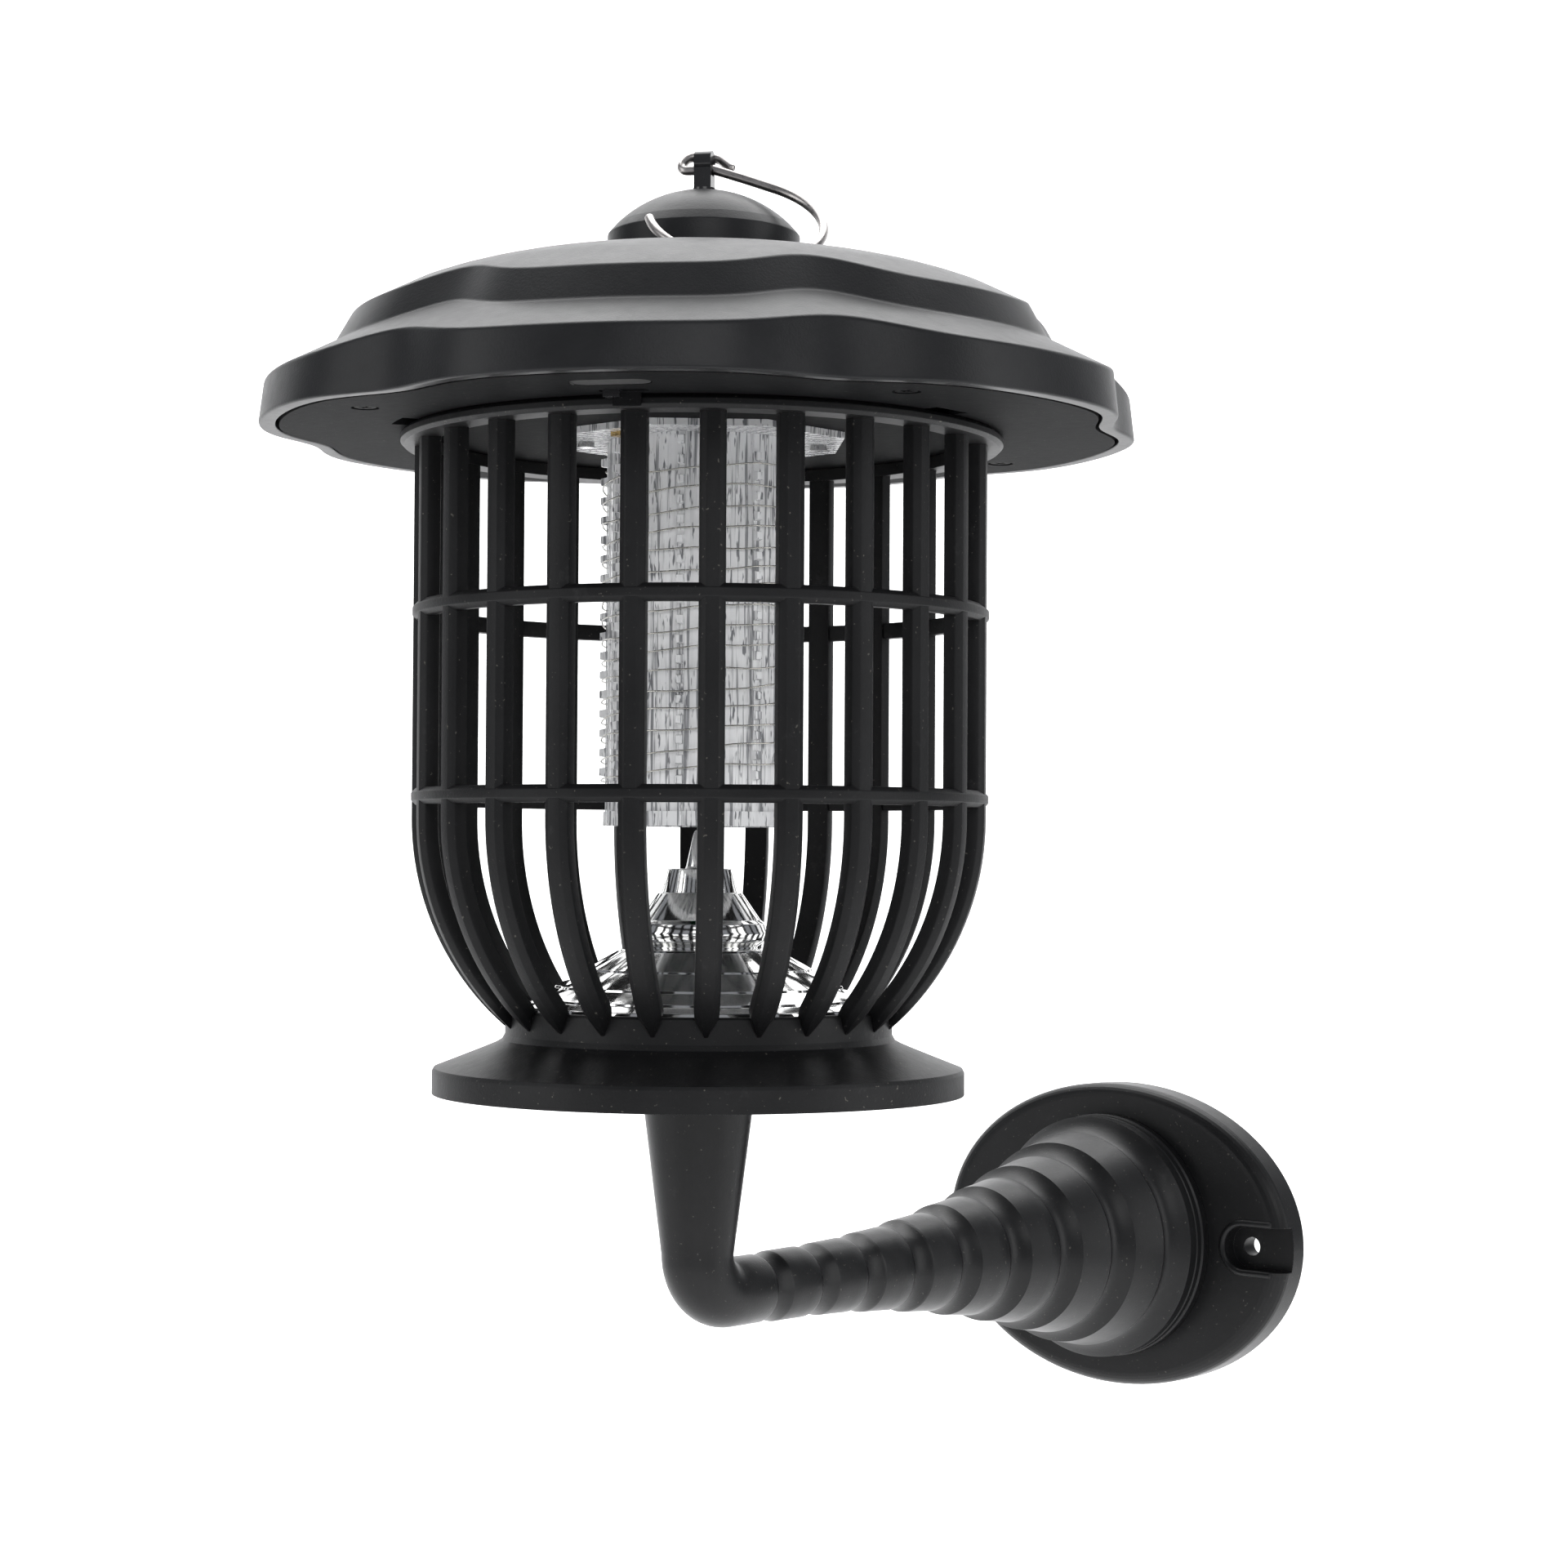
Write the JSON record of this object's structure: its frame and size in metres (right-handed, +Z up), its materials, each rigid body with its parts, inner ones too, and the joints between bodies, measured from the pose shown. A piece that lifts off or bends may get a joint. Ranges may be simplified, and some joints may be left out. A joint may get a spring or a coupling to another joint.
{
  "type": "wall-mounted solar insect-zapper lantern",
  "caption": "Lantern-shaped solar insect zapper with a barred cage, clear light column and wire grid, standing on a wall bracket; the head twists off and a wire hook swings up.",
  "frame": {"origin": "centre of the wall plate's back face", "axes": "+Z up, +Y into the wall, lantern axis upright at y = -0.210 m"},
  "size_m": [0.2484, 0.3297, 0.3741],
  "materials": {
    "black_plastic": "fine-grained satin",
    "gloss_black": "glossy",
    "soft_rubber": "soft matt",
    "steel": "polished",
    "chrome_plating": "bright plated",
    "brass": "turned",
    "clear_plastic": "clear",
    "lamp_plastic": "clear",
    "solar_glass": "smooth",
    "cell_sleeve": "shrunk sleeve",
    "circuit_board": "lacquered",
    "coil": "taped",
    "capacitor_coat": "dipped",
    "wire_sleeve": "extruded"
  },
  "bodies": {
    "bracket": {"wall_plate": "black_plastic", "bracket_arm": "black_plastic", "arm_screws": "steel"},
    "lantern": {"base": "black_plastic", "reflector_cone": "chrome_plating", "reflector_screws": "steel", "cage_bars": "black_plastic", "cage_lower_bars": "black_plastic", "cage_hoop_lower": "black_plastic", "cage_hoop_upper": "black_plastic", "cage_top_ring": "black_plastic"},
    "head": {"roof_shell": "black_plastic", "under_cover": "black_plastic", "cover_seal": "soft_rubber", "cover_screws": "steel", "threaded_inserts": "brass", "finial": "black_plastic", "hook_eyelet": "gloss_black", "eyelet_washer": "steel", "eyelet_nut": "steel", "solar_panel": "solar_glass", "battery_holder": "black_plastic", "battery_cell": "cell_sleeve", "battery_contacts": "steel", "control_board": "circuit_board", "board_standoffs": "black_plastic", "hv_transformer": "coil", "hv_capacitor": "capacitor_coat", "charge_socket": "steel", "switch_body": "black_plastic", "led_board": "circuit_board", "uv_leds": "lamp_plastic", "light_column": "clear_plastic", "wire_combs": "clear_plastic", "column_screws": "steel", "hv_wire_a": "steel", "hv_wire_b": "steel", "hv_terminals": "brass", "battery_leads": "wire_sleeve", "led_leads": "wire_sleeve", "solar_leads": "wire_sleeve"},
    "hook": {"hanging_hook": "steel"},
    "port_flap": {"port_cover": "soft_rubber"},
    "switch_knob": {"switch_slider": "gloss_black"}
  },
  "joints": [
    {"name": "lantern_lift", "type": "slide", "parent": "bracket", "child": "lantern", "axis": [0, 0, 1], "range_m": [0, 0.02]},
    {"name": "head_twist", "type": "hinge", "parent": "lantern", "child": "head", "pos_m": [0, -0.21, 0.2425], "axis": [0, 0, 1], "range_deg": [0, 16]},
    {"name": "hook_swing", "type": "hinge", "parent": "head", "child": "hook", "pos_m": [0, -0.21, 0.3187], "axis": [-0.866, -0.5, 0], "range_deg": [0, 86]},
    {"name": "port_cover_hinge", "type": "hinge", "parent": "head", "child": "port_flap", "pos_m": [0.04294, -0.30437, 0.2426], "axis": [-0.5, 0.866, 0], "range_deg": [0, 95]},
    {"name": "power_switch", "type": "slide", "parent": "head", "child": "switch_knob", "axis": [0.866, 0.5, 0], "range_m": [0, 0.006]}
  ]
}
